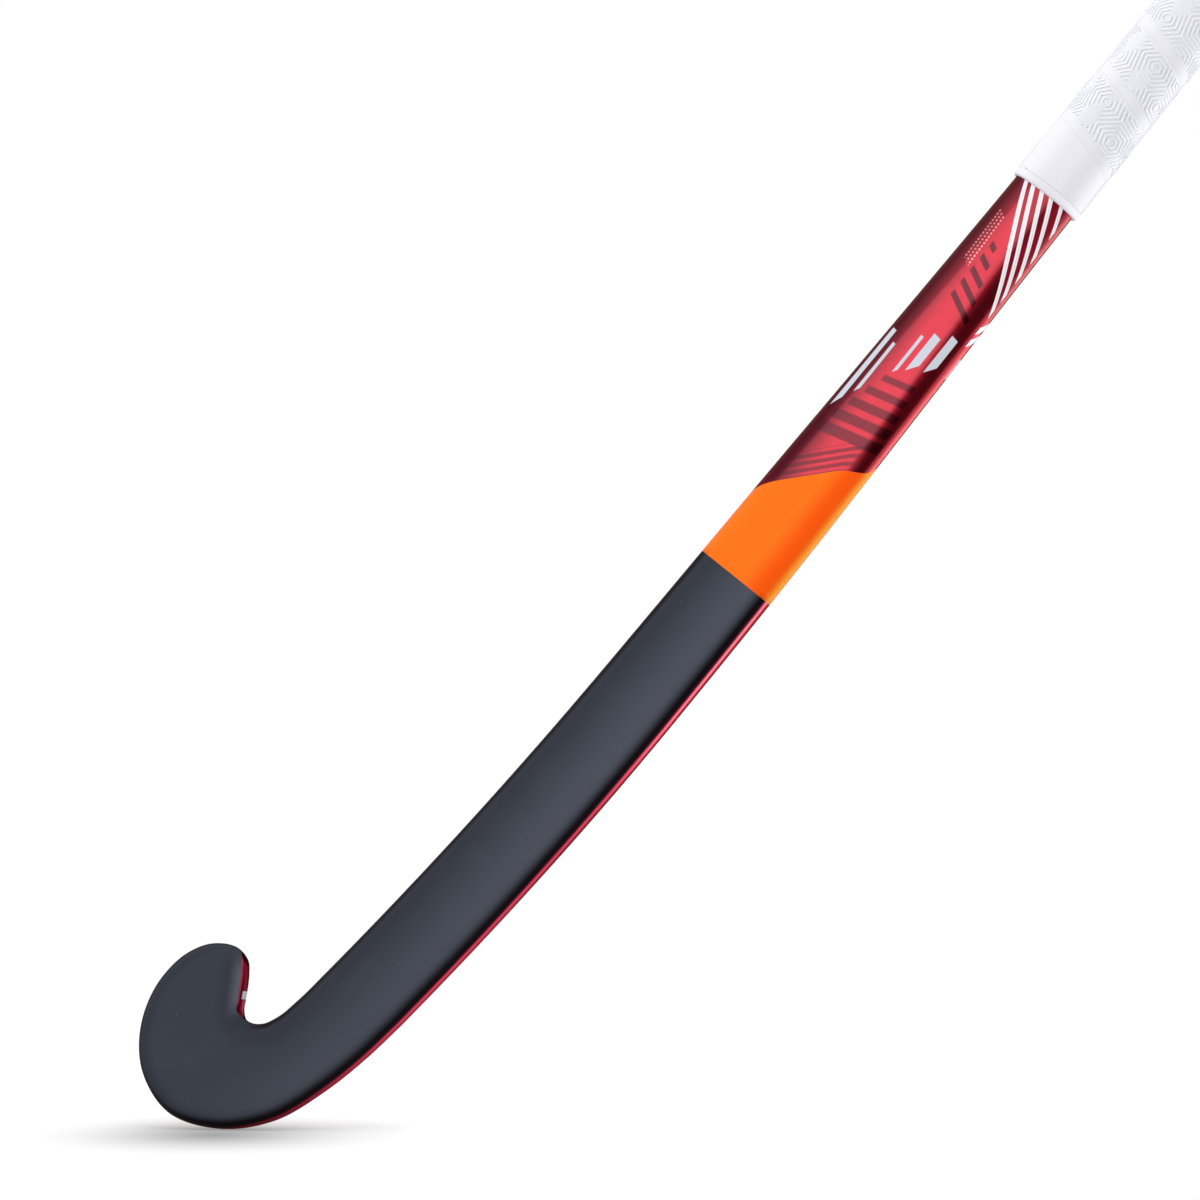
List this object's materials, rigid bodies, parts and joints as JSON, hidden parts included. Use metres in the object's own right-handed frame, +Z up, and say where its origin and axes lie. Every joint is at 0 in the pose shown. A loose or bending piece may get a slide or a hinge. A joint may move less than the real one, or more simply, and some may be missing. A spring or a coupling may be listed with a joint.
{
  "type": "indoor hockey stick",
  "caption": "Composite indoor hockey stick with a bowed flat playing face, a curled hook head, a tapering shaft and a wound soft hand grip.",
  "frame": {"origin": "middle of the hand grip, on the handle's axis", "axes": "+Z up the handle towards the butt end, -Y out of the playing face, +X towards the heel side, the toe curls to -X"},
  "size_m": [0.1125, 0.0605, 0.927],
  "materials": {
    "painted_laminate": "satin metallic red lacquer over laminate, with a matte charcoal playing face, an orange panel and printed stripes",
    "core_foam": "rigid closed-cell foam",
    "web_laminate": "bare dark laminate",
    "plug_foam": "rigid foam",
    "cap_rubber": "matt moulded rubber",
    "tape_backing": "double-sided tape",
    "band_rubber": "smooth white",
    "wrap_cover": "white soft synthetic leather with an embossed pattern"
  },
  "bodies": {
    "root": {"composite_shell": "painted_laminate", "head_core": "core_foam", "inner_web": "web_laminate", "handle_plug": "plug_foam", "butt_cap": "cap_rubber", "grip_tape": "tape_backing", "finishing_band": "band_rubber", "grip_wrap": "wrap_cover"}
  },
  "joints": []
}
